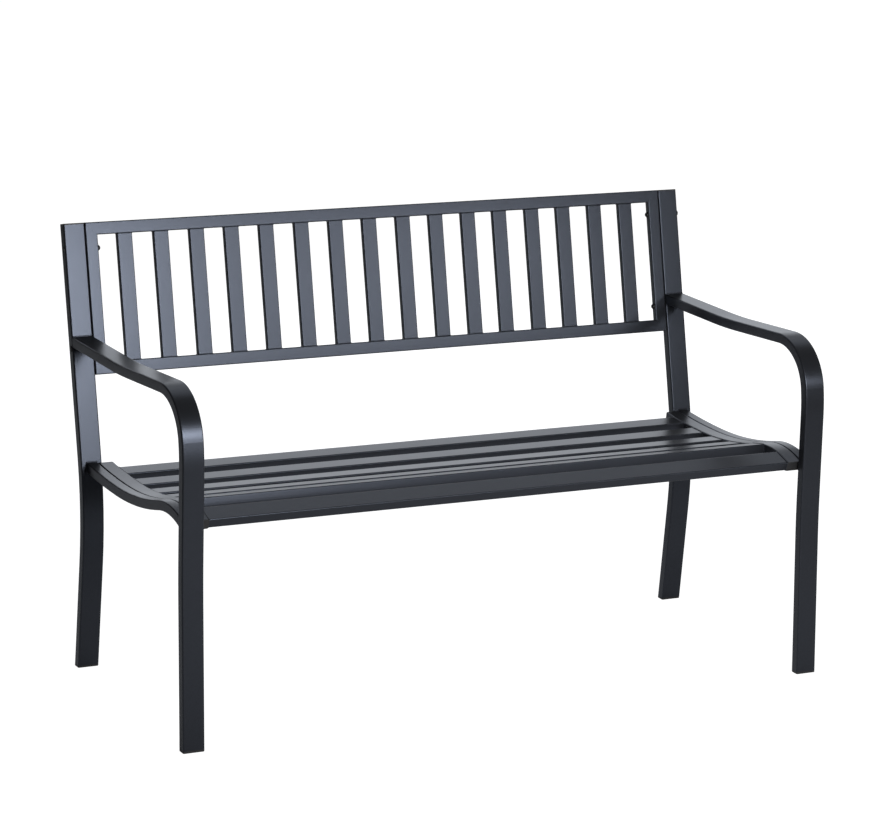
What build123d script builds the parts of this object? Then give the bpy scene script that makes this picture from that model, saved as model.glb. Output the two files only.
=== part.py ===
from build123d import *
import os
from math import asin, cos, degrees, radians, sin, tan

# A metal garden bench. Two side frames of bent and welded rectangular tube carry a welded
# slatted seat panel and a welded slatted back panel, which are bolted between them.
# Millimetres and degrees, +Z up, the front faces -Y, the origin is on the floor below the middle.

# Overall size, over the tubes
bench_width = 1270.0
bench_depth = 614.0
bench_height = 805.4

# Tube of the side frames: posts, rear legs, armrests and front legs
frame_width = 40.0
frame_depth = 19.0
frame_wall = 1.5
frame_corner = 1.5

# Post and rear leg, measured on the front face of their tube
post_rake = 13.65
rear_leg_rake = 4.7
rear_knee_height = 298.0
rear_bend_radius = 620.0

# Armrest and front leg, measured on the upper and front face of their tube
lower_leg_lean = 3.9
upper_leg_lean = 1.4
front_knee_height = 300.0
front_knee_radius = 2000.0
arm_height = 607.8
arm_flat_length = 220.5
arm_rise = 3.9
arm_ease_radius = 1176.0
arm_bend_radius = 110.0

# Line of the seat's upper face: a hollow that climbs to a crest and turns down at the front
seat_dip_height = 381.4
seat_dip_back = 354.1
rear_sweep_radius = 1523.0
front_sweep_radius = 766.0
front_sweep_angle = 14.6
crest_radius = 174.0
nose_angle = 18.2

# Seat rails of the side frames
side_rail_width = 20.0
side_rail_height = 18.5
side_rail_wall = 1.5
side_rail_corner = 1.2

# Seat panel: two end rails and the slats between them
end_rail_width = 28.0
end_rail_height = 18.5
end_rail_wall = 1.5
end_rail_corner = 1.2
seat_panel_gap = 1.0
panel_front_gap = 3.0
panel_rear_gap = 0.5
seat_slat_width = 40.0
seat_slat_thickness = 17.2
seat_slat_wall = 1.2
seat_slat_corner = 1.2
seat_slat_drop = 1.1
# Middles of slats 1 to 5, from the front end of an end rail to its rear end
seat_slat_shares = (0.898, 0.734, 0.570, 0.424, 0.241)

# Back panel: a mitred frame and its slats, flush with the front and the tops of the posts
back_panel_gap = 1.0
back_panel_height = 274.3
back_bar_width = 22.8
back_bar_depth = 12.8
back_bar_wall = 1.2
back_bar_corner = 1.0
back_slat_width = 29.0
back_slat_depth = 11.0
back_slat_wall = 1.0
back_slat_corner = 1.0
# Middles of slats 1 to 16, from the left side bar's inner face to the right one's
back_slat_shares = (
    0.0459, 0.1077, 0.1691, 0.2294, 0.2904, 0.3525, 0.4136, 0.4742,
    0.5355, 0.5957, 0.6557, 0.7145, 0.7754, 0.8347, 0.8951, 0.9544,
)

# Plastic plugs and feet
plug_flange = 2.5
plug_edge = 1.0
plug_length = 16.0
plug_wall = 1.6
plug_clearance = 0.3
seat_plug_flange = 1.5
seat_plug_edge = 0.6
foot_flange = 4.0

# Bolts of the back panel
bolt_diameter = 6.0
bolt_hole_clearance = 0.6
thread_clearance = 0.2
upper_bolt_drop = 46.5
lower_bolt_drop = 225.0
head_width = 10.0
head_height = 3.4
head_edge = 0.6
cap_nut_hex_height = 2.4
cap_nut_dome_diameter = 9.2
cap_nut_dome_height = 2.8
cap_nut_dome_taper = 30.0
cap_nut_bore_depth = 4.0

# Bolts of the seat panel
seat_bolt_shares = (0.816, 0.332)
weld_nut_height = 5.0
seat_bolt_end = 3.0

# Length by which a cutting or starting piece runs past what it meets
overrun = 9.0

os.makedirs("parts", exist_ok=True)

sides = (("left", -1), ("right", 1))
width_axis = Vector(1, 0, 0)
frame_x = bench_width / 2 - frame_width / 2

# Corners of the rear tube's front face line, as depth and height
post_top_y = bench_depth / 2 - frame_depth * cos(radians(post_rake))
rear_knee_y = post_top_y - (bench_height - rear_knee_height) * tan(radians(post_rake))
rear_foot_y = rear_knee_y + rear_knee_height * tan(radians(rear_leg_rake))
post_direction = Vector(0, sin(radians(post_rake)), cos(radians(post_rake)))

# Corners of the front tube's outer face line
front_foot_y = -bench_depth / 2
front_knee_y = front_foot_y + front_knee_height * tan(radians(lower_leg_lean))


def post_front_y(height):
    """Depth of the post's front face at a height above its bend."""
    return rear_knee_y + (height - rear_knee_height) * tan(radians(post_rake))


def leg_front_y(height):
    """Depth of the upper front leg's front face at a height above its knee."""
    return front_knee_y + (height - front_knee_height) * tan(radians(upper_leg_lean))


# The rising armrest line and the leaning leg line cross at the armrest's outer corner
arm_end_y = post_front_y(arm_height)
arm_ease_y = arm_end_y - arm_flat_length
arm_slope = tan(radians(arm_rise))
leg_slope = tan(radians(upper_leg_lean))
arm_corner_y = (leg_front_y(arm_height) + arm_ease_y * arm_slope * leg_slope) / (1 + arm_slope * leg_slope)
arm_corner_z = arm_height + (arm_ease_y - arm_corner_y) * arm_slope


def full_section(width, depth, corner):
    """Outline of a rectangular tube that hangs from the middle of one face, corners eased."""
    with Locations((0, depth / 2)):
        outline = Rectangle(width, depth)
    chamfer(outline.vertices(), corner)


def tube_section(width, depth, wall, corner):
    """The same outline with the tube's hollow."""
    full_section(width, depth, corner)
    with Locations((0, depth / 2)):
        Rectangle(width - 2 * wall, depth - 2 * wall, mode=Mode.SUBTRACT)


def insert_section(width, depth, wall):
    """Section of a plug's sleeve that slides into such a tube."""
    sleeve_width = width - 2 * wall - 2 * plug_clearance
    sleeve_depth = depth - 2 * wall - 2 * plug_clearance
    with Locations((0, depth / 2)):
        Rectangle(sleeve_width, sleeve_depth)
        Rectangle(sleeve_width - 2 * plug_wall, sleeve_depth - 2 * plug_wall, mode=Mode.SUBTRACT)


def start_plane(path):
    """Plane square to the start of a path, with its own Y pointing below or behind the path."""
    return Plane(origin=path @ 0, x_dir=width_axis, z_dir=path % 0)


def rear_face_line(x):
    """Front face of the rear tube in the plane at x, from the floor to the top of the post."""
    with BuildLine(Plane.YZ.offset(x)) as line:
        FilletPolyline(
            (rear_foot_y, 0),
            (rear_knee_y, rear_knee_height),
            (post_top_y, bench_height),
            radius=rear_bend_radius,
        )
    return line.wire()


def front_face_line(x):
    """Outer face of the front tube in the plane at x, from the floor to inside the post."""
    with BuildLine(Plane.YZ.offset(x)) as line:
        FilletPolyline(
            (front_foot_y, 0),
            (front_knee_y, front_knee_height),
            (arm_corner_y, arm_corner_z),
            (arm_ease_y, arm_height),
            (arm_end_y + frame_depth / 2, arm_height),
            radius=[front_knee_radius, arm_bend_radius, arm_ease_radius],
        )
    return line.wire()


# The crest's front end, where the seat line becomes straight
seat_dip_y = front_foot_y + seat_dip_back
crest_center_y = seat_dip_y - (front_sweep_radius + crest_radius) * sin(radians(front_sweep_angle))
crest_center_z = (
    seat_dip_height + front_sweep_radius
    - (front_sweep_radius + crest_radius) * cos(radians(front_sweep_angle))
)
crest_front_y = crest_center_y - crest_radius * sin(radians(nose_angle))
crest_front_z = crest_center_z + crest_radius * cos(radians(nose_angle))


def seat_line(x, front_y, rear_y):
    """Upper face of the seat in the plane at x, from its front edge to its rear edge."""
    nose_drop = (crest_front_y - front_y) * tan(radians(nose_angle))
    rear_angle = degrees(asin((rear_y - seat_dip_y) / rear_sweep_radius))
    with BuildLine(Plane.YZ.offset(x)) as line:
        nose = Line((front_y, crest_front_z - nose_drop), (crest_front_y, crest_front_z))
        crest = JernArc(nose @ 1, nose % 1, crest_radius, -(nose_angle + front_sweep_angle))
        hollow = JernArc(crest @ 1, crest % 1, front_sweep_radius, front_sweep_angle)
        JernArc(hollow @ 1, hollow % 1, rear_sweep_radius, rear_angle)
    return line.wire()


# The side rails run into the leg and the post, the panel's end rails stop short of both
leg_back_y = leg_front_y(crest_front_z) + frame_depth / cos(radians(upper_leg_lean))
side_rail_front_y = leg_back_y - frame_depth / 2
side_rail_rear_y = post_front_y(seat_dip_height) + frame_depth / 2
panel_front_y = leg_back_y + panel_front_gap + seat_plug_flange * cos(radians(nose_angle))
panel_rear_y = post_front_y(seat_dip_height - end_rail_height) - panel_rear_gap - seat_plug_flange

side_rail_inner_x = frame_x - side_rail_width / 2
end_rail_outer_x = side_rail_inner_x - seat_panel_gap
end_rail_x = end_rail_outer_x - end_rail_width / 2
end_rail_inner_x = end_rail_outer_x - end_rail_width
panel_line = seat_line(0, panel_front_y, panel_rear_y)


def seat_plane(share, x, outward, drop):
    """Plane across the bench, at a share of the seat line and a drop below it."""
    along = panel_line % share
    down = along.cross(width_axis)
    point = (panel_line @ share) + down * drop + width_axis * x
    return Plane(origin=point, x_dir=-along * outward, z_dir=width_axis * outward)


# The back panel's face: X across, Y up the posts, Z out of the front, from the posts' tops
back_face = Plane(
    origin=(0, post_top_y, bench_height),
    x_dir=width_axis,
    z_dir=width_axis.cross(post_direction),
)
post_outer_x = bench_width / 2
back_half_width = post_outer_x - frame_width - back_panel_gap
side_bar_inner_x = back_half_width - back_bar_width


def back_point(x, drop, behind):
    """Point at x, a drop down the posts and a distance behind the panel's face."""
    return back_face.from_local_coords((x, -drop, -behind))


def back_bolt_planes(x):
    """Planes square to the four bolts of the back panel, at x from the middle, facing outward."""
    return [
        Plane(origin=back_point(side * x, drop, back_bar_depth / 2), z_dir=width_axis * side)
        for _, side in sides
        for drop in (upper_bolt_drop, lower_bolt_drop)
    ]


def seat_bolt_planes(x):
    """Planes square to the four bolts of the seat panel, at x from the middle, facing outward."""
    return [
        seat_plane(share, side * x, side, end_rail_height / 2)
        for _, side in sides
        for share in seat_bolt_shares
    ]


def side_of(planes, side):
    """The planes of one side of the bench."""
    return [plane for plane in planes if plane.origin.X * side > 0]


bolt_hole_radius = (bolt_diameter + bolt_hole_clearance) / 2
back_holes = back_bolt_planes(post_outer_x)
seat_holes = seat_bolt_planes(end_rail_inner_x)

# Side frames
for name, side in sides:
    rear_face = rear_face_line(side * frame_x)
    front_face = front_face_line(side * frame_x)

    # Post and rear leg in one tube, cut level above the foot and square below the plug
    with BuildPart() as rear_post:
        with BuildSketch(start_plane(rear_face)):
            tube_section(frame_width, frame_depth, frame_wall, frame_corner)
        sweep(path=rear_face)
        split(bisect_by=Plane.XY.offset(foot_flange), keep=Keep.TOP)
        split(
            bisect_by=Plane(origin=back_point(0, plug_flange, 0), z_dir=post_direction),
            keep=Keep.BOTTOM,
        )
        with Locations(*side_of(back_holes, side)):
            Hole(bolt_hole_radius)
    rear_post.part.label = f"rear_post_{name}"
    export_step(rear_post.part, f"parts/rear_post_{name}.step")

    # Armrest and front leg in one tube, coped to the post's front face
    with BuildPart() as arm_and_leg:
        with BuildSketch(start_plane(front_face)):
            tube_section(frame_width, frame_depth, frame_wall, frame_corner)
        sweep(path=front_face)
        split(bisect_by=Plane.XY.offset(foot_flange), keep=Keep.TOP)
        with BuildSketch(start_plane(rear_face)):
            full_section(frame_width, frame_depth, frame_corner)
        sweep(path=rear_face, mode=Mode.SUBTRACT)
    arm_and_leg.part.label = f"arm_and_front_leg_{name}"
    export_step(arm_and_leg.part, f"parts/arm_and_front_leg_{name}.step")

    # Curved seat rail, coped to the leg's back and the post's front
    with BuildPart() as side_rail:
        rail_line = seat_line(side * frame_x, side_rail_front_y, side_rail_rear_y)
        with BuildSketch(start_plane(rail_line)):
            tube_section(side_rail_width, side_rail_height, side_rail_wall, side_rail_corner)
        sweep(path=rail_line)
        with BuildSketch(start_plane(rear_face)):
            full_section(frame_width, frame_depth, frame_corner)
        sweep(path=rear_face, mode=Mode.SUBTRACT)
        with BuildSketch(start_plane(front_face)):
            full_section(frame_width, frame_depth, frame_corner)
        sweep(path=front_face, mode=Mode.SUBTRACT)
        with BuildSketch(*side_of(seat_bolt_planes(side_rail_inner_x), side)):
            Circle(bolt_hole_radius)
        extrude(amount=2 * side_rail_wall, mode=Mode.SUBTRACT)
    side_rail.part.label = f"seat_side_rail_{name}"
    export_step(side_rail.part, f"parts/seat_side_rail_{name}.step")

    # Plastic plug in the top of the post
    with BuildPart() as post_plug:
        mouth = Plane(
            origin=back_point(side * frame_x, plug_flange, 0),
            x_dir=-width_axis,
            z_dir=-post_direction,
        )
        with BuildSketch(mouth):
            full_section(frame_width, frame_depth, frame_corner)
        extrude(amount=-plug_flange)
        chamfer(post_plug.faces().sort_by(Axis(mouth.origin, mouth.z_dir))[0].edges(), plug_edge)
        with BuildSketch(mouth):
            insert_section(frame_width, frame_depth, frame_wall)
        extrude(amount=plug_length)
    post_plug.part.label = f"post_plug_{name}"
    export_step(post_plug.part, f"parts/post_plug_{name}.step")

    # Plastic feet, cut level on the floor and at the tube's end
    for foot_name, face_line in (("front", front_face), ("rear", rear_face)):
        with BuildPart() as foot:
            sole = start_plane(face_line)
            with BuildSketch(sole.offset(-overrun)):
                full_section(frame_width, frame_depth, frame_corner)
            extrude(amount=foot_flange + 2 * overrun)
            split(bisect_by=Plane.XY, keep=Keep.TOP)
            split(bisect_by=Plane.XY.offset(foot_flange), keep=Keep.BOTTOM)
            with BuildSketch(sole.offset(foot_flange / 2)):
                insert_section(frame_width, frame_depth, frame_wall)
            extrude(amount=foot_flange / 2 + plug_length)
        foot.part.label = f"{foot_name}_foot_{name}"
        export_step(foot.part, f"parts/{foot_name}_foot_{name}.step")

# Seat panel: end rails that follow the seat line, with plugs in their open ends
for name, side in sides:
    rail_line = seat_line(side * end_rail_x, panel_front_y, panel_rear_y)
    with BuildPart() as end_rail:
        with BuildSketch(start_plane(rail_line)):
            tube_section(end_rail_width, end_rail_height, end_rail_wall, end_rail_corner)
        sweep(path=rail_line)
        with Locations(*side_of(seat_holes, side)):
            Hole(bolt_hole_radius)
    end_rail.part.label = f"seat_end_rail_{name}"
    export_step(end_rail.part, f"parts/seat_end_rail_{name}.step")

    front_mouth = start_plane(rail_line)
    rear_mouth = Plane(origin=rail_line @ 1, x_dir=-width_axis, z_dir=-(rail_line % 1))
    for end_name, mouth in (("front", front_mouth), ("rear", rear_mouth)):
        with BuildPart() as seat_plug:
            with BuildSketch(mouth):
                full_section(end_rail_width, end_rail_height, end_rail_corner)
            extrude(amount=-seat_plug_flange)
            chamfer(
                seat_plug.faces().sort_by(Axis(mouth.origin, mouth.z_dir))[0].edges(),
                seat_plug_edge,
            )
            with BuildSketch(mouth):
                insert_section(end_rail_width, end_rail_height, end_rail_wall)
            extrude(amount=plug_length)
        seat_plug.part.label = f"seat_plug_{end_name}_{name}"
        export_step(seat_plug.part, f"parts/seat_plug_{end_name}_{name}.step")

# Slats across the seat: the last one lies flush with the front ends of the end rails
front_slat_share = seat_slat_width / 2 / panel_line.length
for number, share in enumerate((*seat_slat_shares, front_slat_share), start=1):
    with BuildPart() as seat_slat:
        with BuildSketch(seat_plane(share, -end_rail_inner_x, 1, seat_slat_drop)):
            tube_section(seat_slat_width, seat_slat_thickness, seat_slat_wall, seat_slat_corner)
        extrude(amount=2 * end_rail_inner_x)
    seat_slat.part.label = f"seat_slat_{number}"
    export_step(seat_slat.part, f"parts/seat_slat_{number}.step")


def mitre(x_side, drop, up_side):
    """Plane of a corner's mitre, facing the rail that the corner belongs to."""
    return Plane(
        origin=back_point(x_side * back_half_width, drop, 0),
        z_dir=width_axis * -x_side + post_direction * up_side,
    )


# Back panel: mitred rails and side bars
back_rails = (
    ("back_top_rail", back_bar_width / 2, 0, 1),
    ("back_bottom_rail", back_panel_height - back_bar_width / 2, back_panel_height, -1),
)
for rail_name, middle_drop, corner_drop, up_side in back_rails:
    with BuildPart() as back_rail:
        rail_end = Plane(
            origin=back_point(-back_half_width, middle_drop, 0),
            x_dir=-post_direction,
            z_dir=width_axis,
        )
        with BuildSketch(rail_end):
            tube_section(back_bar_width, back_bar_depth, back_bar_wall, back_bar_corner)
        extrude(amount=2 * back_half_width)
        split(bisect_by=mitre(-1, corner_drop, up_side), keep=Keep.TOP)
        split(bisect_by=mitre(1, corner_drop, up_side), keep=Keep.TOP)
    back_rail.part.label = rail_name
    export_step(back_rail.part, f"parts/{rail_name}.step")

for name, side in sides:
    with BuildPart() as side_bar:
        bar_end = Plane(
            origin=back_point(side * (back_half_width - back_bar_width / 2), back_panel_height, 0),
            x_dir=width_axis,
            z_dir=post_direction,
        )
        with BuildSketch(bar_end):
            tube_section(back_bar_width, back_bar_depth, back_bar_wall, back_bar_corner)
        extrude(amount=back_panel_height)
        split(bisect_by=mitre(side, 0, 1), keep=Keep.BOTTOM)
        split(bisect_by=mitre(side, back_panel_height, -1), keep=Keep.BOTTOM)
        with Locations(*side_of(back_holes, side)):
            Hole(bolt_hole_radius)
    side_bar.part.label = f"back_side_bar_{name}"
    export_step(side_bar.part, f"parts/back_side_bar_{name}.step")

# Upright slats between the side bars, set back to the middle of the frame
back_slat_setback = (back_bar_depth - back_slat_depth) / 2
for number, share in enumerate(back_slat_shares, start=1):
    with BuildPart() as back_slat:
        slat_end = Plane(
            origin=back_point(
                (2 * share - 1) * side_bar_inner_x,
                back_panel_height - back_bar_width,
                back_slat_setback,
            ),
            x_dir=width_axis,
            z_dir=post_direction,
        )
        with BuildSketch(slat_end):
            tube_section(back_slat_width, back_slat_depth, back_slat_wall, back_slat_corner)
        extrude(amount=back_panel_height - 2 * back_bar_width)
    back_slat.part.label = f"back_slat_{number:02d}"
    export_step(back_slat.part, f"parts/back_slat_{number:02d}.step")


def hexagon():
    """Outline of a bolt's head or a nut."""
    RegularPolygon(head_width / 2, 6, major_radius=False)


# Bolts of the back panel, heads on the posts' outer faces
back_bolt_length = post_outer_x - side_bar_inner_x + cap_nut_bore_depth

with BuildPart() as back_bolts:
    with BuildSketch(*back_bolt_planes(post_outer_x)):
        hexagon()
    extrude(amount=head_height)
    outer_edges = back_bolts.edges().group_by(lambda edge: abs(edge.center().X))[-1]
    chamfer(outer_edges, head_edge)
    with BuildSketch(*back_bolt_planes(post_outer_x)):
        Circle(bolt_diameter / 2)
    extrude(amount=-back_bolt_length)
back_bolts.part.label = "back_bolts"
export_step(back_bolts.part, "parts/back_bolts.step")

# Dome nuts on the inner faces of the side bars
with BuildPart() as back_cap_nuts:
    with BuildSketch(*back_bolt_planes(side_bar_inner_x)):
        hexagon()
    extrude(amount=-cap_nut_hex_height)
    with BuildSketch(*back_bolt_planes(side_bar_inner_x - cap_nut_hex_height)):
        Circle(cap_nut_dome_diameter / 2)
    extrude(amount=-cap_nut_dome_height, taper=cap_nut_dome_taper)
    with BuildSketch(*back_bolt_planes(side_bar_inner_x)):
        Circle((bolt_diameter + thread_clearance) / 2)
    extrude(amount=-(cap_nut_bore_depth + thread_clearance), mode=Mode.SUBTRACT)
back_cap_nuts.part.label = "back_cap_nuts"
export_step(back_cap_nuts.part, "parts/back_cap_nuts.step")

# Bolts of the seat panel, heads on the inner faces of the end rails
seat_bolt_length = end_rail_width + seat_panel_gap + side_rail_wall + weld_nut_height + seat_bolt_end

with BuildPart() as seat_bolts:
    with BuildSketch(*seat_bolt_planes(end_rail_inner_x)):
        hexagon()
    extrude(amount=-head_height)
    inner_edges = seat_bolts.edges().group_by(lambda edge: abs(edge.center().X))[0]
    chamfer(inner_edges, head_edge)
    with BuildSketch(*seat_bolt_planes(end_rail_inner_x)):
        Circle(bolt_diameter / 2)
    extrude(amount=seat_bolt_length)
seat_bolts.part.label = "seat_bolts"
export_step(seat_bolts.part, "parts/seat_bolts.step")

# Nuts welded inside the side rails, behind their inner walls
with BuildPart() as seat_weld_nuts:
    with BuildSketch(*seat_bolt_planes(side_rail_inner_x + side_rail_wall)):
        hexagon()
        Circle((bolt_diameter + thread_clearance) / 2, mode=Mode.SUBTRACT)
    extrude(amount=weld_nut_height)
seat_weld_nuts.part.label = "seat_weld_nuts"
export_step(seat_weld_nuts.part, "parts/seat_weld_nuts.step")
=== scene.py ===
# A metal garden bench: two bent and welded tube side frames with a welded slatted seat panel and
# a welded slatted back panel bolted between them. Metres, +Z up, the front faces -Y.
from math import asin, cos, pi, radians, sin, tan

import bmesh
import bpy
from mathutils import Matrix, Vector


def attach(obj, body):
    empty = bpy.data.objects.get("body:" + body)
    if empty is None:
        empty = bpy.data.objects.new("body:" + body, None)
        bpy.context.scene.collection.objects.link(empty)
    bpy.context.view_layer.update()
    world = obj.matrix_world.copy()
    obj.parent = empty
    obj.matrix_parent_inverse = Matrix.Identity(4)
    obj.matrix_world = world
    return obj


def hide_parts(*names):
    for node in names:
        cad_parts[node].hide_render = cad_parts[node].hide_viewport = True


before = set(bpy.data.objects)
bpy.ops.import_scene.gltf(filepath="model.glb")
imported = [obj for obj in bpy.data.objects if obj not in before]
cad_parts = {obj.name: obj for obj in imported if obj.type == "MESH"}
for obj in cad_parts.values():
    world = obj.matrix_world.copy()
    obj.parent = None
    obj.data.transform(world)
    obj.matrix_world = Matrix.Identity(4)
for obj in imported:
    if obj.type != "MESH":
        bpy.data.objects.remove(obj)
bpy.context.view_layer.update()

mm = 0.001
scene = bpy.context.scene

# Side frames, left and right. Each is two lengths of 40 x 19 mm steel tube with rounded corners,
# bent cold on formers: the post with its rear leg, and the armrest with its front leg. The arm is
# coped to the post and welded, and the whole frame is powder coated in one satin charcoal.
bench_width = 1270 * mm
bench_depth = 614 * mm
bench_height = 805.4 * mm
along_x = Vector((1, 0, 0))
# Each tube is written as its width, its depth and the radius of its corners
frame_tube = (40 * mm, 19 * mm, 2.6 * mm)
frame_x = (bench_width - frame_tube[0]) / 2
foot_flange = 4 * mm
plug_flange = 2.5 * mm

post_rake = radians(13.65)
rear_leg_rake = radians(4.7)
rear_knee_height = 298 * mm
rear_bend_radius = 620 * mm
post_top_y = bench_depth / 2 - frame_tube[1] * cos(post_rake)
rear_knee_y = post_top_y - (bench_height - rear_knee_height) * tan(post_rake)
rear_foot_y = rear_knee_y + rear_knee_height * tan(rear_leg_rake)
post_up = Vector((0, sin(post_rake), cos(post_rake)))
post_front = Vector((0, -cos(post_rake), sin(post_rake)))
post_top = Vector((0, post_top_y, bench_height))

lower_lean = radians(3.9)
upper_lean = radians(1.4)
front_knee_height = 300 * mm
front_knee_radius = 2000 * mm
front_foot_y = -bench_depth / 2
front_knee_y = front_foot_y + front_knee_height * tan(lower_lean)
arm_height = 607.8 * mm
arm_rise = radians(3.9)
arm_flat_length = 220.5 * mm
arm_ease_radius = 1176 * mm
arm_end_y = rear_knee_y + (arm_height - rear_knee_height) * tan(post_rake)
arm_ease_y = arm_end_y - arm_flat_length
leg_at_arm_y = front_knee_y + (arm_height - front_knee_height) * tan(upper_lean)
arm_corner_y = (leg_at_arm_y + arm_ease_y * tan(arm_rise) * tan(upper_lean)) / (
    1 + tan(arm_rise) * tan(upper_lean)
)
arm_corner_z = arm_height + (arm_ease_y - arm_corner_y) * tan(arm_rise)
arm_corner = Vector((0, arm_corner_y, arm_corner_z))

# The armrest's bend runs out into the leg: its last degrees are wider. So it is drawn as two
# bends, whose own corners lie on the leg's line and on the armrest's line.
run_out_turn = radians(9)
run_out_radius = 330 * mm
arm_bend_radius = 101 * mm
between_bends = 0.1 * mm
leg_at_arm = Vector((0, sin(upper_lean), cos(upper_lean)))
arm_at_leg = Vector((0, cos(arm_rise), -sin(arm_rise)))
arm_bend_turn = leg_at_arm.angle(arm_at_leg) - run_out_turn
bend_corners_apart = (
    run_out_radius * tan(run_out_turn / 2)
    + arm_bend_radius * tan(arm_bend_turn / 2)
    + between_bends
)
corner_spread = bend_corners_apart / sin(run_out_turn + arm_bend_turn)

rear_face_points = [
    Vector((0, rear_foot_y, 0)),
    Vector((0, rear_knee_y, rear_knee_height)),
    post_top - post_up * plug_flange,
]
front_face_points = [
    Vector((0, front_foot_y, 0)),
    Vector((0, front_knee_y, front_knee_height)),
    arm_corner - leg_at_arm * corner_spread * sin(arm_bend_turn),
    arm_corner + arm_at_leg * corner_spread * sin(run_out_turn),
    Vector((0, arm_ease_y, arm_height)),
    Vector((0, arm_end_y + frame_tube[1], arm_height)),
]
sides = (("left", -1), ("right", 1))
# A tube that is coped to another follows its rounded corners this far
cope = 1.2 * mm


def bends(points, radii):
    """Straight runs and bends along a line of corner points, as (length, None) or (angle, radius).
    A bend towards the tube's own depth has a positive radius."""
    runs = []
    held_back = 0
    for corner, radius in enumerate((*radii, None), start=1):
        before = points[corner] - points[corner - 1]
        if radius is None:
            runs.append((before.length - held_back, None))
            break
        after = points[corner + 1] - points[corner]
        turn = before.angle(after)
        inward = 1 if before.cross(after).x < 0 else -1
        tangent = radius * tan(turn / 2)
        runs.append((before.length - held_back - tangent, None))
        runs.append((turn, inward * radius))
        held_back = tangent
    return runs


def start_section(mesh, tube, origin, x_dir, heading):
    """The tube's rounded outline as one face, hanging from the middle of one side."""
    depth_dir = heading.cross(x_dir)
    place = Matrix((x_dir, depth_dir, heading)).transposed().to_4x4()
    place.translation = origin + depth_dir * tube[1] / 2
    made = bmesh.ops.create_grid(mesh, x_segments=1, y_segments=1, size=0.5)
    bmesh.ops.scale(mesh, vec=(tube[0], tube[1], 1), verts=made["verts"])
    bmesh.ops.bevel(
        mesh, geom=made["verts"], offset=tube[2], offset_type="OFFSET", segments=4, profile=0.5,
        affect="VERTICES", material=-1,
    )
    bmesh.ops.transform(mesh, matrix=place, verts=mesh.verts)
    return mesh.faces[:][0]


def run_tube(mesh, face, point, heading, x_dir, runs, step=radians(3), fewest_steps=4):
    """Draws the section along straight runs and bends."""
    for amount, radius in runs:
        if radius is None:
            whole_face = [face, *face.edges, *face.verts]
            grown = bmesh.ops.extrude_face_region(mesh, geom=whole_face)["geom"]
            moved = [item for item in grown if isinstance(item, bmesh.types.BMVert)]
            bmesh.ops.translate(mesh, vec=heading * amount, verts=moved)
            face = [item for item in grown if isinstance(item, bmesh.types.BMFace)][0]
            point = point + heading * amount
            continue
        centre = point + heading.cross(x_dir) * radius
        angle = -amount if radius > 0 else amount
        spun = bmesh.ops.spin(
            mesh, geom=[face, *face.edges, *face.verts], cent=centre, axis=x_dir, angle=angle,
            steps=max(fewest_steps, round(amount / step)),
        )
        face = [item for item in spun["geom_last"] if isinstance(item, bmesh.types.BMFace)][0]
        turn = Matrix.Rotation(angle, 3, x_dir)
        point = centre + turn @ (point - centre)
        heading = turn @ heading


def cut(mesh, point, outward):
    """Saws the mesh at a plane and closes the cut."""
    sawn = bmesh.ops.bisect_plane(
        mesh, geom=[*mesh.verts, *mesh.edges, *mesh.faces], plane_co=point, plane_no=outward,
        clear_outer=True,
    )
    rim = [item for item in sawn["geom_cut"] if isinstance(item, bmesh.types.BMEdge)]
    bmesh.ops.contextual_create(mesh, geom=rim)


def finish_piece(name, mesh, material, slot, *nodes, sharp=radians(40)):
    """Turns a bmesh into a piece of the bench that stands for its CAD nodes."""
    bmesh.ops.recalc_face_normals(mesh, faces=mesh.faces)
    for face in mesh.faces:
        face.smooth = True
    data = bpy.data.meshes.new(name)
    mesh.to_mesh(data)
    mesh.free()
    data.set_sharp_from_angle(angle=sharp)
    piece = bpy.data.objects.new(name, data)
    scene.collection.objects.link(piece)
    data.materials.append(material)
    even = piece.modifiers.new("Even shading", "WEIGHTED_NORMAL")
    even.keep_sharp = True
    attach(piece, "root")
    if nodes:
        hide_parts(*nodes)


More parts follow.
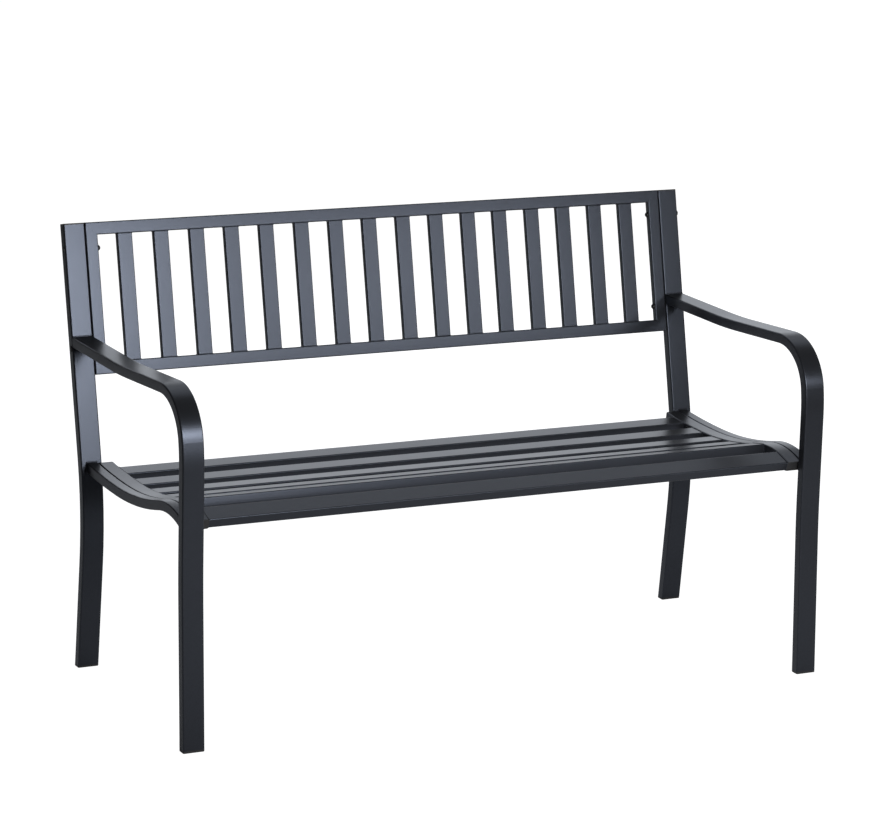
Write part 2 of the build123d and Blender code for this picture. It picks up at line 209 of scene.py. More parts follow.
# Powder coat over the whole bench: fine orange peel left by the fused powder, slow drifts of
# gloss and tone, and a trace of dust that has settled on the faces that look up.
def coating_group():
    group = bpy.data.node_groups.new("Powder coat", "ShaderNodeTree")
    for socket, kind, value in (
        ("Paint", "NodeSocketColor", (0.02, 0.02, 0.02, 1)),
        ("Peel size", "NodeSocketFloat", 0.0018),
        ("Gloss", "NodeSocketFloat", 0.3),
        ("Dust", "NodeSocketFloat", 0.05),
    ):
        group.interface.new_socket(socket, in_out="INPUT", socket_type=kind).default_value = value
    for socket, kind in (
        ("Color", "NodeSocketColor"),
        ("Roughness", "NodeSocketFloat"),
        ("Height", "NodeSocketFloat"),
    ):
        group.interface.new_socket(socket, in_out="OUTPUT", socket_type=kind)
    nodes, link = group.nodes, group.links.new
    given = nodes.new("NodeGroupInput")
    out = nodes.new("NodeGroupOutput")
    place = nodes.new("ShaderNodeTexCoord")

    per_metre = nodes.new("ShaderNodeMath")
    per_metre.operation = "DIVIDE"
    per_metre.inputs[0].default_value = 1
    link(given.outputs["Peel size"], per_metre.inputs[1])
    peel = nodes.new("ShaderNodeTexNoise")
    peel.inputs["Detail"].default_value = 1.5
    peel.inputs["Roughness"].default_value = 0.4
    link(place.outputs["Object"], peel.inputs["Vector"])
    link(per_metre.outputs[0], peel.inputs["Scale"])
    link(peel.outputs["Fac"], out.inputs["Height"])

    drift = nodes.new("ShaderNodeTexNoise")
    drift.inputs["Scale"].default_value = 14
    drift.inputs["Detail"].default_value = 1
    link(place.outputs["Object"], drift.inputs["Vector"])
    speck = nodes.new("ShaderNodeTexNoise")
    speck.inputs["Scale"].default_value = 900
    speck.inputs["Detail"].default_value = 2
    link(place.outputs["Object"], speck.inputs["Vector"])

    gloss_drift = nodes.new("ShaderNodeMapRange")
    gloss_drift.clamp = False
    gloss_drift.inputs["To Min"].default_value = -0.012
    gloss_drift.inputs["To Max"].default_value = 0.012
    link(drift.outputs["Fac"], gloss_drift.inputs["Value"])
    gloss_sum = nodes.new("ShaderNodeMath")
    link(given.outputs["Gloss"], gloss_sum.inputs[0])
    link(gloss_drift.outputs[0], gloss_sum.inputs[1])

    facing = nodes.new("ShaderNodeNewGeometry")
    split = nodes.new("ShaderNodeSeparateXYZ")
    link(facing.outputs["Normal"], split.inputs[0])
    upward = nodes.new("ShaderNodeMapRange")
    upward.inputs["From Min"].default_value = 0.55
    upward.inputs["From Max"].default_value = 1
    link(split.outputs["Z"], upward.inputs["Value"])
    settled = nodes.new("ShaderNodeMath")
    settled.operation = "MULTIPLY"
    link(upward.outputs[0], settled.inputs[0])
    link(speck.outputs["Fac"], settled.inputs[1])
    dust = nodes.new("ShaderNodeMath")
    dust.operation = "MULTIPLY"
    link(settled.outputs[0], dust.inputs[0])
    link(given.outputs["Dust"], dust.inputs[1])

    gloss_dust = nodes.new("ShaderNodeMath")
    link(gloss_sum.outputs[0], gloss_dust.inputs[0])
    link(dust.outputs[0], gloss_dust.inputs[1])
    link(gloss_dust.outputs[0], out.inputs["Roughness"])

    tone = nodes.new("ShaderNodeMapRange")
    tone.clamp = False
    tone.inputs["To Min"].default_value = 0.95
    tone.inputs["To Max"].default_value = 1.05
    link(drift.outputs["Fac"], tone.inputs["Value"])
    toned = nodes.new("ShaderNodeVectorMath")
    toned.operation = "SCALE"
    link(given.outputs["Paint"], toned.inputs[0])
    link(tone.outputs[0], toned.inputs["Scale"])
    dusted = nodes.new("ShaderNodeMix")
    dusted.data_type = "RGBA"
    dusted.inputs["B"].default_value = (0.3, 0.28, 0.25, 1)
    link(dust.outputs[0], dusted.inputs["Factor"])
    link(toned.outputs[0], dusted.inputs["A"])
    link(dusted.outputs["Result"], out.inputs["Color"])
    return group


powder_coat = coating_group()


def paint(name, colour, gloss=0.31, peel=1.8 * mm, relief=0.06 * mm, dust=0.012):
    """A satin powder coat in one colour."""
    material = bpy.data.materials.new(name)
    material.use_nodes = True
    nodes, link = material.node_tree.nodes, material.node_tree.links.new
    shader = nodes["Principled BSDF"]
    coat = nodes.new("ShaderNodeGroup")
    coat.node_tree = powder_coat
    coat.inputs["Paint"].default_value = (*colour, 1)
    coat.inputs["Gloss"].default_value = gloss
    coat.inputs["Peel size"].default_value = peel
    coat.inputs["Dust"].default_value = dust
    relief_bump = nodes.new("ShaderNodeBump")
    relief_bump.inputs["Distance"].default_value = relief
    link(coat.outputs["Height"], relief_bump.inputs["Height"])
    link(coat.outputs["Color"], shader.inputs["Base Color"])
    link(coat.outputs["Roughness"], shader.inputs["Roughness"])
    link(relief_bump.outputs["Normal"], shader.inputs["Normal"])
    shader.inputs["IOR"].default_value = 1.52
    shader.inputs["Specular Tint"].default_value = (0.70, 0.79, 1, 1)
    return material


charcoal = (0.0125, 0.013, 0.0147)
frame_paint = paint("Frame powder coat", charcoal)
front_bend_radii = [front_knee_radius, run_out_radius, arm_bend_radius, arm_ease_radius]

for name, side in sides:
    for piece_name, points, radii in (
        ("rear_post", rear_face_points, [rear_bend_radius]),
        ("arm_and_front_leg", front_face_points, front_bend_radii),
    ):
        tube_mesh = bmesh.new()
        heading = (points[1] - points[0]).normalized()
        start = points[0] + along_x * side * frame_x - heading * foot_flange
        section = start_section(tube_mesh, frame_tube, start, along_x, heading)
        runs = bends(points, radii)
        runs[0] = (runs[0][0] + foot_flange, None)
        run_tube(tube_mesh, section, start, heading, along_x, runs)
        cut(tube_mesh, (0, 0, foot_flange), (0, 0, -1))
        if piece_name == "arm_and_front_leg":
            cut(tube_mesh, post_top - post_front * cope, -post_front)
        node = f"{piece_name}_{name}"
        finish_piece(f"{node}_tube", tube_mesh, frame_paint, "frame_paint", node)

# Seat rails of the side frames: narrow tube rolled to the line of the seat, coped to the back of
# the front leg and to the front of the post, and welded all round at both ends.
side_rail = (20 * mm, 18.5 * mm, 2.2 * mm)
seat_dip_back = 354.1 * mm
seat_dip_y = front_foot_y + seat_dip_back
seat_dip_z = 381.4 * mm
rear_sweep = 1523 * mm
front_sweep = 766 * mm
front_sweep_angle = radians(14.6)
crest_radius = 174 * mm
nose_angle = radians(18.2)
crest_y = seat_dip_y - (front_sweep + crest_radius) * sin(front_sweep_angle)
crest_z = seat_dip_z + front_sweep - (front_sweep + crest_radius) * cos(front_sweep_angle)
crest_front_y = crest_y - crest_radius * sin(nose_angle)
crest_front_z = crest_z + crest_radius * cos(nose_angle)
leg_back_y = (
    front_knee_y + (crest_front_z - front_knee_height) * tan(upper_lean)
    + frame_tube[1] / cos(upper_lean)
)


def seat_runs(front_y, rear_y):
    """The seat's line from a front edge to a rear edge: nose, crest, hollow and rear sweep."""
    return [
        ((crest_front_y - front_y) / cos(nose_angle), None),
        (nose_angle + front_sweep_angle, crest_radius),
        (front_sweep_angle, -front_sweep),
        (asin((rear_y - seat_dip_y) / rear_sweep), -rear_sweep),
    ]


def seat_rail(mesh, tube, x, front_y, rear_y):
    """A tube that hangs from the seat's line at x."""
    heading = Vector((0, cos(nose_angle), sin(nose_angle)))
    start = Vector((x, front_y, crest_front_z - (crest_front_y - front_y) * tan(nose_angle)))
    section = start_section(mesh, tube, start, along_x, heading)
    run_tube(mesh, section, start, heading, along_x, seat_runs(front_y, rear_y), step=radians(1.5))


leg_back = Vector((0, leg_back_y, crest_front_z))
leg_front = Vector((0, -cos(upper_lean), sin(upper_lean)))
post_at_seat_y = rear_knee_y + (seat_dip_z - rear_knee_height) * tan(post_rake)
# The rail is drawn this far into the leg and the post, then sawn where it meets them
sawn_off = frame_tube[1] / 2
for name, side in sides:
    rail_mesh = bmesh.new()
    seat_rail(
        rail_mesh, side_rail, side * frame_x, leg_back_y - sawn_off, post_at_seat_y + sawn_off
    )
    cut(rail_mesh, leg_back, leg_front)
    cut(rail_mesh, Vector((0, post_at_seat_y, seat_dip_z)) - post_front * cope, -post_front)
    node = f"seat_side_rail_{name}"
    finish_piece(f"{node}_tube", rail_mesh, frame_paint, "frame_paint", node)

# Welds of the side frames: one small steel bead all round each coped end, where the armrest
# meets the post and where the seat rail meets the leg and the post. Laid by hand in overlapping
# puddles and painted over with the frame.
bead_swell = (0.86, 1.08)
arm_bead_inset = 2 * mm


def outline_points(width, height, corner, spacing):
    """Points at an even spacing round a rectangle with rounded corners."""
    straight_x = width - 2 * corner
    straight_y = height - 2 * corner
    arc = corner * pi / 2
    around = 2 * (straight_x + straight_y + 2 * arc)
    count = round(around / spacing)
    points = []
    for number in range(count):
        left = around * number / count
        for quarter in range(4):
            lying = (straight_x, straight_y) if quarter % 2 == 0 else (straight_y, straight_x)
            length = lying[0]
            turn = Matrix.Rotation(quarter * pi / 2, 2)
            half = Vector(lying) / 2
            if left <= length:
                points.append(turn @ Vector((left - half.x, -half.y - corner)))
                break
            left -= length
            if left <= arc:
                angle = left / corner - pi / 2
                rounded = Vector((half.x + corner * cos(angle), -half.y + corner * sin(angle)))
                points.append(turn @ rounded)
                break
            left -= arc
    return points


def weld_curve(name, size):
    """An empty curve as thick as a weld bead."""
    curve = bpy.data.curves.new(name, "CURVE")
    curve.dimensions = "3D"
    curve.bevel_depth = size
    curve.bevel_resolution = 2
    return curve


def add_bead(curve, place, width, height, corner, ripple=1.5 * mm):
    """A bead round a tube's end, thicker and thinner where the welder's puddles froze."""
    points = outline_points(width, height, corner, ripple / 2)
    spline = curve.splines.new("POLY")
    spline.points.add(len(points) - 1)
    spline.use_cyclic_u = True
    for number, (x, y) in enumerate(points):
        spline.points[number].co = (*(place @ Vector((x, y, 0))), 1)
        spline.points[number].radius = bead_swell[number % 2]


def finish_welds(curve, slot, material):
    """Turns the beads into one piece. Their ripples meet steeply and still shade as soft."""
    holder = bpy.data.objects.new(f"{curve.name}_path", curve)
    data = bpy.data.meshes.new_from_object(holder)
    bpy.data.objects.remove(holder)
    data.materials.clear()
    beads = bmesh.new()
    beads.from_mesh(data)
    finish_piece(curve.name, beads, material, slot, sharp=radians(80))


def facing(origin, x_dir, normal):
    """Placing matrix with its X along x_dir and its Z along the normal."""
    place = Matrix((x_dir, normal.cross(x_dir), normal)).transposed().to_4x4()
    place.translation = origin
    return place


arm_slant = frame_tube[1] / cos(post_rake)
arm_middle_y = arm_end_y - frame_tube[1] / 2 * tan(post_rake)
rear_angle = asin((post_at_seat_y - seat_dip_y) / rear_sweep)
rail_end_z = seat_dip_z + rear_sweep * (1 - cos(rear_angle))
rail_end_y = rear_knee_y + (rail_end_z - rear_knee_height) * tan(post_rake)
rail_end_slant = side_rail[1] / cos(post_rake)
rail_front_z = crest_front_z - (crest_front_y - leg_back_y) * tan(nose_angle)
rail_front_slant = side_rail[1] / cos(nose_angle)
for name, side in sides:
    beads = weld_curve(f"frame_welds_{name}", size=1.5 * mm)
    at_arm = Vector((side * frame_x, arm_middle_y, arm_height - frame_tube[1] / 2))
    place = facing(at_arm, along_x, post_front)
    add_bead(beads, place, frame_tube[0] - arm_bead_inset, arm_slant, frame_tube[2])
    at_post = Vector((side * frame_x, rail_end_y, rail_end_z)) - post_up * rail_end_slant / 2
    place = facing(at_post, along_x, post_front)
    add_bead(beads, place, side_rail[0], rail_end_slant, side_rail[2])
    at_leg = Vector((side * frame_x, leg_back_y, rail_front_z)) - leg_at_arm * rail_front_slant / 2
    place = facing(at_leg, along_x, -leg_front)
    add_bead(beads, place, side_rail[0], rail_front_slant, side_rail[2])
    finish_welds(beads, "frame_paint", frame_paint)

# Plugs and feet of the side frames: black moulded polyethylene, pushed into the open tube. The
# post's plug shows as a thin cap with a soft edge, the foot as a thin sole.
hair = 0.001 * mm
sole_blank_length = 3 * foot_flange
# Map Range has these two sockets for its result's range when it maps a colour
lowest_colour, highest_colour = 9, 10


def plastic_material():
    """Black polyethylene with a fine moulded grain and faint scuffs."""
    material = bpy.data.materials.new("Plug plastic")
    material.use_nodes = True
    nodes, link = material.node_tree.nodes, material.node_tree.links.new
    shader = nodes["Principled BSDF"]
    place = nodes.new("ShaderNodeTexCoord")
    grain = nodes.new("ShaderNodeTexVoronoi")
    grain.inputs["Scale"].default_value = 2600
    link(place.outputs["Object"], grain.inputs["Vector"])
    scuffs = nodes.new("ShaderNodeTexNoise")
    scuffs.inputs["Scale"].default_value = 160
    scuffs.inputs["Detail"].default_value = 5
    link(place.outputs["Object"], scuffs.inputs["Vector"])
    colour = nodes.new("ShaderNodeMapRange")
    colour.data_type = "FLOAT_VECTOR"
    colour.inputs[lowest_colour].default_value = (0.012, 0.012, 0.013)
    colour.inputs[highest_colour].default_value = (0.022, 0.022, 0.023)
    link(scuffs.outputs["Fac"], colour.inputs["Vector"])
    link(colour.outputs["Vector"], shader.inputs["Base Color"])
    gloss = nodes.new("ShaderNodeMapRange")
    gloss.inputs["To Min"].default_value = 0.42
    gloss.inputs["To Max"].default_value = 0.62
    link(scuffs.outputs["Fac"], gloss.inputs["Value"])
    link(gloss.outputs[0], shader.inputs["Roughness"])
    bump = nodes.new("ShaderNodeBump")
    bump.inputs["Distance"].default_value = 0.03 * mm
    link(grain.outputs["Distance"], bump.inputs["Height"])
    link(bump.outputs["Normal"], shader.inputs["Normal"])
    return material


plug_plastic = plastic_material()


def rim_at(mesh, height):
    """The edges that lie level at a height."""
    return [
        edge for edge in mesh.edges if all(abs(vert.co.z - height) < hair for vert in edge.verts)
    ]


def round_over(mesh, edges, width, segments):
    """Takes the sharpness off some edges."""
    bmesh.ops.bevel(
        mesh, geom=edges, offset=width, offset_type="OFFSET", segments=segments, profile=0.5,
        affect="EDGES", material=-1,
    )


def plug_cap(tube, thickness, edge, place):
    """The visible flange of a plug: as wide as its tube, its outer rim rounded."""
    mesh = bmesh.new()
    outward = Vector((0, 0, 1))
    face = start_section(mesh, tube, Vector((0, -tube[1] / 2, 0)), along_x, outward)
    run_tube(mesh, face, Vector(), outward, along_x, [(thickness, None)])
    round_over(mesh, rim_at(mesh, thickness), edge, segments=3)
    bmesh.ops.transform(mesh, matrix=place, verts=mesh.verts)
    return mesh


post_tube_middle = post_top - post_up * plug_flange - post_front * frame_tube[1] / 2
for name, side in sides:
    middle = post_tube_middle + along_x * side * frame_x
    place = facing(middle, along_x, post_up)
    cap = plug_cap(frame_tube, plug_flange, edge=0.9 * mm, place=place)
    finish_piece(f"post_cap_{name}", cap, plug_plastic, "plug_plastic", f"post_plug_{name}")
    for foot_name, points in (("front", front_face_points), ("rear", rear_face_points)):
        sole = bmesh.new()
        heading = (points[1] - points[0]).normalized()
        start = points[0] + along_x * side * frame_x - heading * foot_flange
        section = start_section(sole, frame_tube, start, along_x, heading)
        run_tube(sole, section, start, heading, along_x, [(sole_blank_length, None)])
        cut(sole, (0, 0, 0), (0, 0, -1))
        cut(sole, (0, 0, foot_flange), (0, 0, 1))
        round_over(sole, rim_at(sole, 0), 1.2 * mm, segments=3)
        node = f"{foot_name}_foot_{name}"
        finish_piece(f"{foot_name}_sole_{name}", sole, plug_plastic, "plug_plastic", node)

# Seat panel: six 40 mm slats of rectangular tube butted between two rolled end rails and welded
# to them, with plastic plugs in the rails' open ends. Painted like the frame.
seat_paint = paint("Seat powder coat", charcoal, dust=0.02)
end_rail = (28 * mm, 18.5 * mm, 2.2 * mm)
seat_panel_gap = 1 * mm
panel_front_gap = 3 * mm
panel_rear_gap = 0.5 * mm
end_rail_x = frame_x - side_rail[0] / 2 - seat_panel_gap - end_rail[0] / 2
seat_plug_flange = 1.5 * mm
panel_front_y = leg_back_y + panel_front_gap + seat_plug_flange * cos(nose_angle)
panel_rear_y = (
    rear_knee_y + (seat_dip_z - end_rail[1] - rear_knee_height) * tan(post_rake)
    - panel_rear_gap - seat_plug_flange
)
panel_runs = seat_runs(panel_front_y, panel_rear_y)
panel_front_z = crest_front_z - (crest_front_y - panel_front_y) * tan(nose_angle)
panel_start = Vector((0, panel_front_y, panel_front_z))
panel_length = sum(amount * (abs(radius) if radius else 1) for amount, radius in panel_runs)


def seat_point(share):
    """Point and heading of the seat's line at a share of its length."""
    left = share * panel_length
    point = panel_start
    heading = Vector((0, cos(nose_angle), sin(nose_angle)))
    for amount, radius in panel_runs:
        length = amount * (abs(radius) if radius else 1)
        step = min(left, length)
        if radius is None:
            point = point + heading * step
        else:
            centre = point + heading.cross(along_x) * radius
            turn = Matrix.Rotation(-step / radius, 3, "X")
            point = centre + turn @ (point - centre)
            heading = turn @ heading
        left -= step
        if left <= 0:
            break
    return point, heading


for name, side in sides:
    rail_mesh = bmesh.new()
    seat_rail(rail_mesh, end_rail, side * end_rail_x, panel_front_y, panel_rear_y)
    node = f"seat_end_rail_{name}"
    finish_piece(f"{node}_tube", rail_mesh, seat_paint, "seat_paint", node)
    for end_name, share, outward in (("front", 0, -1), ("rear", 1, 1)):
        point, heading = seat_point(share)
        middle = point + heading.cross(along_x) * end_rail[1] / 2 + along_x * side * end_rail_x
        place = facing(middle, along_x, heading * outward)
        cap = plug_cap(end_rail, seat_plug_flange, edge=0.5 * mm, place=place)
        node = f"seat_plug_{end_name}_{name}"
        finish_piece(f"seat_cap_{end_name}_{name}", cap, plug_plastic, "plug_plastic", node)

seat_slat = (40 * mm, 17.2 * mm, 2.1 * mm)
seat_slat_drop = 1.1 * mm
seat_slat_shares = (0.898, 0.734, 0.570, 0.424, 0.241, seat_slat[0] / 2 / panel_length)
slat_half = end_rail_x - end_rail[0] / 2
seat_beads = weld_curve("seat_welds", size=1.2 * mm)
for number, share in enumerate(seat_slat_shares, start=1):
    point, heading = seat_point(share)
    down = heading.cross(along_x)
    start = point + down * seat_slat_drop - along_x * slat_half
    slat_mesh = bmesh.new()
    section = start_section(slat_mesh, seat_slat, start, -heading, along_x)
    run_tube(slat_mesh, section, start, along_x, -heading, [(2 * slat_half, None)])
    node = f"seat_slat_{number}"
    finish_piece(f"{node}_tube", slat_mesh, seat_paint, "seat_paint", node)
    for end in (-1, 1):
        middle = point + down * (seat_slat_drop + seat_slat[1] / 2) + along_x * end * slat_half
        add_bead(seat_beads, facing(middle, heading, along_x * -end), *seat_slat)
finish_welds(seat_beads, "seat_paint", seat_paint)

# Back panel: a frame of small tube mitred and welded at its corners, the corner welds ground
# flush, and sixteen thinner slats butted between its rails. It hangs between the posts on bolts.
back_paint = paint("Back powder coat", charcoal)
back_bar = (22.8 * mm, 12.8 * mm, 1.8 * mm)
back_panel_gap = 1 * mm
back_half_width = bench_width / 2 - frame_tube[0] - back_panel_gap
back_panel_height = 274.3 * mm
mitre_joint = 0.1 * mm
# A face this square to a mitre's direction is the mitre's own
mitre_match = 0.999


def on_back(x, drop, behind=0):
    """Point at x, a drop down the posts and a distance behind the panel's face."""
    return post_top + along_x * x - post_up * drop - post_front * behind


def back_bar_piece(name, start, heading, x_dir, length, mitres):
    """One bar of the panel's frame, sawn at its mitres and rounded."""
    mesh = bmesh.new()
    section = start_section(mesh, back_bar, start, x_dir, heading)
    run_tube(mesh, section, start, heading, x_dir, [(length, None)])
    for point, outward in mitres:
        cut(mesh, point, outward)
    rims = [edge for edge in mesh.edges if any(
        abs(face.normal.dot(outward.normalized())) > mitre_match
        for face in edge.link_faces for _, outward in mitres
    )]
    round_over(mesh, rims, mitre_joint, segments=2)
    finish_piece(f"{name}_tube", mesh, back_paint, "back_paint", name)


corners = {(side, end): on_back(side * back_half_width, drop)
           for _, side in sides for end, drop in ((1, 0), (-1, back_panel_height))}
for name, drop, end in (
    ("back_top_rail", back_bar[0] / 2, 1),
    ("back_bottom_rail", back_panel_height - back_bar[0] / 2, -1),
):
    mitres = [(corners[side, end], along_x * side - post_up * end) for _, side in sides]
    start = on_back(-back_half_width, drop)
    back_bar_piece(name, start, along_x, -post_up, 2 * back_half_width, mitres)
for name, side in sides:
    mitres = [(corners[side, end], post_up * end - along_x * side) for end in (1, -1)]
    start = on_back(side * (back_half_width - back_bar[0] / 2), back_panel_height)
    back_bar_piece(f"back_side_bar_{name}", start, post_up, along_x, back_panel_height, mitres)

back_slat = (29 * mm, 11 * mm, 1.8 * mm)
back_slat_shares = (
    0.0459, 0.1077, 0.1691, 0.2294, 0.2904, 0.3525, 0.4136, 0.4742,
    0.5355, 0.5957, 0.6557, 0.7145, 0.7754, 0.8347, 0.8951, 0.9544,
)
back_inner_x = back_half_width - back_bar[0]
back_slat_length = back_panel_height - 2 * back_bar[0]
slat_set_back = (back_bar[1] - back_slat[1]) / 2
back_beads = weld_curve("back_welds", size=0.9 * mm)
for number, share in enumerate(back_slat_shares, start=1):
    slat_x = (2 * share - 1) * back_inner_x
    start = on_back(slat_x, back_panel_height - back_bar[0], slat_set_back)
    slat_mesh = bmesh.new()
    section = start_section(slat_mesh, back_slat, start, along_x, post_up)
    run_tube(slat_mesh, section, start, post_up, along_x, [(back_slat_length, None)])
    node = f"back_slat_{number:02d}"
    finish_piece(f"{node}_tube", slat_mesh, back_paint, "back_paint", node)
    for drop, outward in ((back_bar[0], -1), (back_panel_height - back_bar[0], 1)):
        middle = on_back(slat_x, drop, back_bar[1] / 2)
        add_bead(back_beads, facing(middle, along_x, post_up * outward), *back_slat)
finish_welds(back_beads, "back_paint", back_paint)

# Fasteners: black oxide M6 steel. Hexagon bolts pass through the posts and the panel's side bars
# into dome nuts, and short ones through the end rails into nuts welded inside the side rails.


def steel_material():
    """Blackened steel with fine turning marks and brighter rubbed spots."""
    material = bpy.data.materials.new("Black steel")
    material.use_nodes = True
    nodes, link = material.node_tree.nodes, material.node_tree.links.new
    shader = nodes["Principled BSDF"]
    shader.inputs["Metallic"].default_value = 1
    place = nodes.new("ShaderNodeTexCoord")
    rubbed = nodes.new("ShaderNodeTexNoise")
    rubbed.inputs["Scale"].default_value = 700
    rubbed.inputs["Detail"].default_value = 4
    link(place.outputs["Object"], rubbed.inputs["Vector"])
    colour = nodes.new("ShaderNodeMapRange")
    colour.data_type = "FLOAT_VECTOR"
    colour.inputs[lowest_colour].default_value = (0.02, 0.02, 0.022)
    colour.inputs[highest_colour].default_value = (0.07, 0.07, 0.073)
    link(rubbed.outputs["Fac"], colour.inputs["Vector"])
    link(colour.outputs["Vector"], shader.inputs["Base Color"])
    gloss = nodes.new("ShaderNodeMapRange")
    gloss.inputs["To Min"].default_value = 0.3
    gloss.inputs["To Max"].default_value = 0.5
    link(rubbed.outputs["Fac"], gloss.inputs["Value"])
    link(gloss.outputs[0], shader.inputs["Roughness"])
    marks = nodes.new("ShaderNodeTexNoise")
    marks.inputs["Scale"].default_value = 4000
    link(place.outputs["Object"], marks.inputs["Vector"])
    bump = nodes.new("ShaderNodeBump")
    bump.inputs["Distance"].default_value = 0.01 * mm
    link(marks.outputs["Fac"], bump.inputs["Height"])
    link(bump.outputs["Normal"], shader.inputs["Normal"])
    return material


black_steel = steel_material()
bolt_radius = 3 * mm
head_width = 10 * mm
head_corner_radius = head_width / 2 / cos(pi / 6)
head_height = 3.4 * mm
low_head_height = 1.8 * mm
nut_height = 2.4 * mm
dome_radius = 4.4 * mm
dome_flattening = 0.64
dome_foot = 2.39 * mm


def hexagon(mesh, height, chamfer):
    """A hexagon prism on z = 0, its upper corners turned down as on a real head."""
    made = bmesh.ops.create_cone(
        mesh, cap_ends=True, segments=6, radius1=head_corner_radius, radius2=head_corner_radius,
        depth=height,
    )
    bmesh.ops.translate(mesh, vec=(0, 0, height / 2), verts=made["verts"])
    round_over(mesh, rim_at(mesh, height), chamfer, segments=2)


def bolt(mesh, shank, head):
    """A hexagon bolt, its head standing on z = 0 and its shank below."""
    hexagon(mesh, head, chamfer=0.6 * mm)
    made = bmesh.ops.create_cone(
        mesh, cap_ends=True, segments=32, radius1=bolt_radius, radius2=bolt_radius, depth=shank
    )
    bmesh.ops.translate(mesh, vec=(0, 0, -shank / 2), verts=made["verts"])


def dome_nut(mesh):
    """A dome nut standing on z = 0."""
    hexagon(mesh, nut_height, chamfer=0.4 * mm)
    made = bmesh.ops.create_uvsphere(mesh, u_segments=32, v_segments=16, radius=dome_radius)
    below = [vert for vert in made["verts"] if vert.co.z < -hair]
    bmesh.ops.delete(mesh, geom=below, context="VERTS")
    kept = [vert for vert in made["verts"] if vert.is_valid]
    bmesh.ops.scale(mesh, vec=(1, 1, dome_flattening), verts=kept)
    bmesh.ops.translate(mesh, vec=(0, 0, dome_foot), verts=kept)
    rim = [edge for edge in mesh.edges if edge.is_boundary]
    bmesh.ops.contextual_create(mesh, geom=rim)


def repeated(name, draw, places, node):
    """The same fastener at each place, in one piece."""
    whole = bmesh.new()
    for place in places:
        single = bmesh.new()
        draw(single)
        bmesh.ops.transform(single, matrix=place, verts=single.verts)
        data = bpy.data.meshes.new(name)
        single.to_mesh(data)
        single.free()
        whole.from_mesh(data)
        bpy.data.meshes.remove(data)
    finish_piece(name, whole, black_steel, "fastener_steel", node)


bolt_drops = (46.5 * mm, 225 * mm)
back_bolt_end = 4 * mm
back_bolt_length = bench_width / 2 - back_inner_x + back_bolt_end
along_y = Vector((0, 1, 0))
outer_places = [
    facing(on_back(side * bench_width / 2, drop, back_bar[1] / 2), along_y, along_x * side)
    for _, side in sides for drop in bolt_drops
]
inner_places = [
    facing(on_back(side * back_inner_x, drop, back_bar[1] / 2), along_y, along_x * -side)
    for _, side in sides for drop in bolt_drops
]
repeated(
    "back_bolt_set", lambda mesh: bolt(mesh, back_bolt_length, low_head_height), outer_places,
    "back_bolts",
)
repeated("back_dome_nut_set", dome_nut, inner_places, "back_cap_nuts")

seat_bolt_shares = (0.816, 0.332)
side_rail_wall = 1.5 * mm
weld_nut_height = 5 * mm
seat_bolt_end = 3 * mm
seat_bolt_length = end_rail[0] + seat_panel_gap + side_rail_wall + weld_nut_height + seat_bolt_end
seat_bolt_places = []
for _, side in sides:
    for share in seat_bolt_shares:
        point, heading = seat_point(share)
        middle = point + heading.cross(along_x) * end_rail[1] / 2 + along_x * side * slat_half
        inward = along_x * -side
        seat_bolt_places.append(facing(middle, heading.cross(inward), inward))
repeated(
    "seat_bolt_set", lambda mesh: bolt(mesh, seat_bolt_length, head_height), seat_bolt_places,
    "seat_bolts",
)
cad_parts["seat_weld_nuts"].data.materials.clear()
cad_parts["seat_weld_nuts"].data.materials.append(black_steel)

# Studio: a plain white floor and surround, one softbox high in front with a low one under it, a
# dim fill to their right, and pale screens behind and above that show in the faces that look up.
floor_half_width = 12
lamps_y = -2.4
screen_tint = (0.90, 0.94, 1)
floor_mesh = bmesh.new()
bmesh.ops.create_grid(floor_mesh, x_segments=1, y_segments=1, size=floor_half_width)
floor_data = bpy.data.meshes.new("studio_floor")
floor_mesh.to_mesh(floor_data)
floor_mesh.free()
floor = bpy.data.objects.new("studio_floor", floor_data)
scene.collection.objects.link(floor)

floor_material = bpy.data.materials.new("Studio floor")
floor_material.use_nodes = True
nodes, link = floor_material.node_tree.nodes, floor_material.node_tree.links.new
nodes.remove(nodes["Principled BSDF"])
rays = nodes.new("ShaderNodeLightPath")
paper = nodes.new("ShaderNodeBsdfDiffuse")
paper.inputs["Color"].default_value = (0.8, 0.8, 0.8, 1)
shaded_paper = nodes.new("ShaderNodeBsdfDiffuse")
shaded_paper.inputs["Color"].default_value = (0.35, 0.35, 0.35, 1)
place = nodes.new("ShaderNodeTexCoord")
away = nodes.new("ShaderNodeVectorMath")
away.operation = "LENGTH"
link(place.outputs["Object"], away.inputs[0])
fade = nodes.new("ShaderNodeMapRange")
fade.inputs["From Min"].default_value = 1.0
fade.inputs["From Max"].default_value = 3.5
fade.inputs["To Min"].default_value = 0.96
fade.inputs["To Max"].default_value = 1.0
link(away.outputs["Value"], fade.inputs["Value"])
glow = nodes.new("ShaderNodeEmission")
link(fade.outputs[0], glow.inputs["Strength"])
seen = nodes.new("ShaderNodeAddShader")
link(shaded_paper.outputs[0], seen.inputs[0])
link(glow.outputs[0], seen.inputs[1])
by_ray = nodes.new("ShaderNodeMixShader")
link(rays.outputs["Is Camera Ray"], by_ray.inputs["Fac"])
link(paper.outputs[0], by_ray.inputs[1])
link(seen.outputs[0], by_ray.inputs[2])
link(by_ray.outputs[0], nodes["Material Output"].inputs["Surface"])
floor_data.materials.append(floor_material)

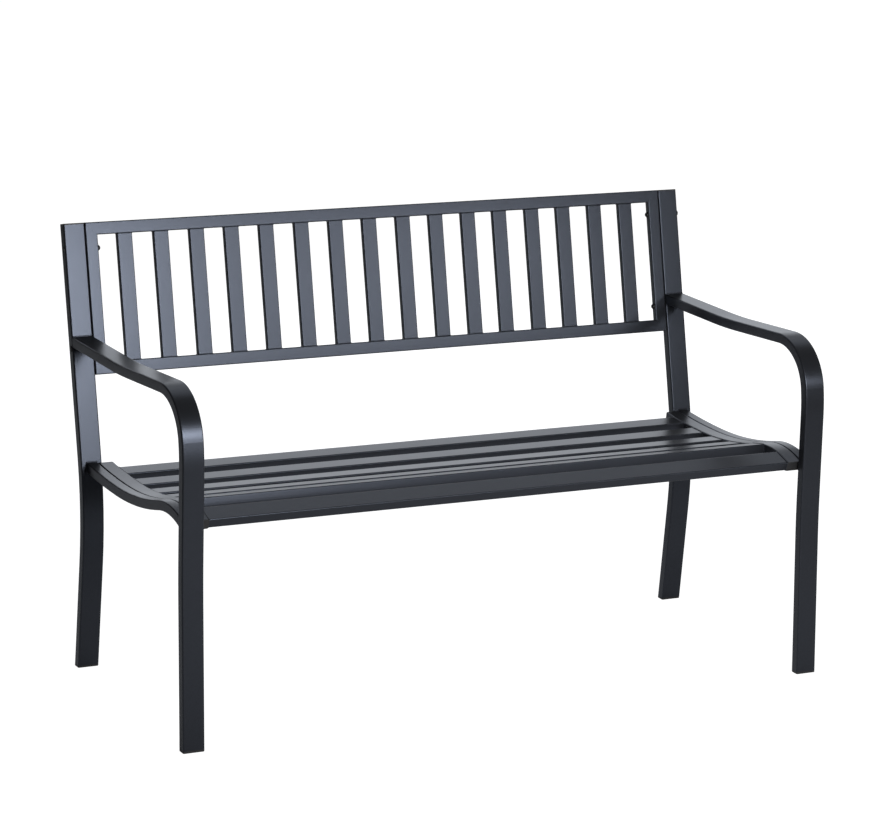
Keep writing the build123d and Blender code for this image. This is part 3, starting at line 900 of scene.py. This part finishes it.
world = bpy.data.worlds.new("Studio surround")
scene.world = world
world.use_nodes = True
nodes, link = world.node_tree.nodes, world.node_tree.links.new
surround = nodes["Background"]
rays = nodes.new("ShaderNodeLightPath")
level = nodes.new("ShaderNodeMapRange")
level.inputs["To Min"].default_value = 0.066
level.inputs["To Max"].default_value = 1
link(rays.outputs["Is Camera Ray"], level.inputs["Value"])
link(level.outputs[0], surround.inputs["Strength"])
surround.inputs["Color"].default_value = (1, 1, 1, 1)


def softbox(name, place, target, width, height, radiance, tint=(1, 1, 1)):
    """A flat rectangular lamp that faces a point."""
    lamp = bpy.data.lights.new(name, "AREA")
    lamp.shape = "RECTANGLE"
    lamp.size = width
    lamp.size_y = height
    lamp.energy = radiance * pi * width * height
    lamp.color = tint
    holder = bpy.data.objects.new(name, lamp)
    holder.location = place
    holder.rotation_euler = (Vector(target) - Vector(place)).to_track_quat("-Z", "Y").to_euler()
    scene.collection.objects.link(holder)


for name, x, z, width, height, radiance in (
    ("softbox_main", 0.12, 1.40, 0.80, 0.6, 25),
    ("softbox_low", 0.2, 0.86, 0.88, 0.36, 6),
    ("softbox_fill", 1.4, 1.34, 1.16, 0.42, 10),
):
    softbox(name, (x, lamps_y, z), (x, 0, z), width, height, radiance)
for name, place, target, width, height, radiance in (
    ("screen_behind", (1.0, 3.2, 1.6), (1.0, 0, 1.6), 4.6, 2.46, 1.3),
    ("screen_above", (1.48, 1.76, 3.2), (1.48, 1.76, 0), 4.4, 2.4, 0.82),
):
    softbox(name, place, target, width, height, radiance, screen_tint)

# Camera: a long lens left of the front and above the bench, where the straight edges in the
# photo put it. It is turned a little about its own line of sight, as the photo is.
camera_place = Vector((-2.8434, -5.5167, 2.0245))
camera_back = Vector((-0.44418, -0.86174, 0.24516))
level_right = Vector((0.88887, -0.45816, 0))
roll = radians(2.16790)
camera_data = bpy.data.cameras.new("camera")
camera_data.lens = 141.96
camera_data.sensor_width = 36
camera_data.sensor_fit = "HORIZONTAL"
camera_data.shift_x = -0.00035
camera_data.shift_y = 0.00486
camera_data.clip_end = 60
camera = bpy.data.objects.new("camera", camera_data)
level_up = camera_back.cross(level_right)
right = level_right * cos(roll) + level_up * sin(roll)
up = level_up * cos(roll) - level_right * sin(roll)
place = Matrix((right, up, camera_back)).transposed().to_4x4()
place.translation = camera_place
camera.matrix_world = place
scene.collection.objects.link(camera)
scene.camera = camera
scene.view_settings.view_transform = "Standard"
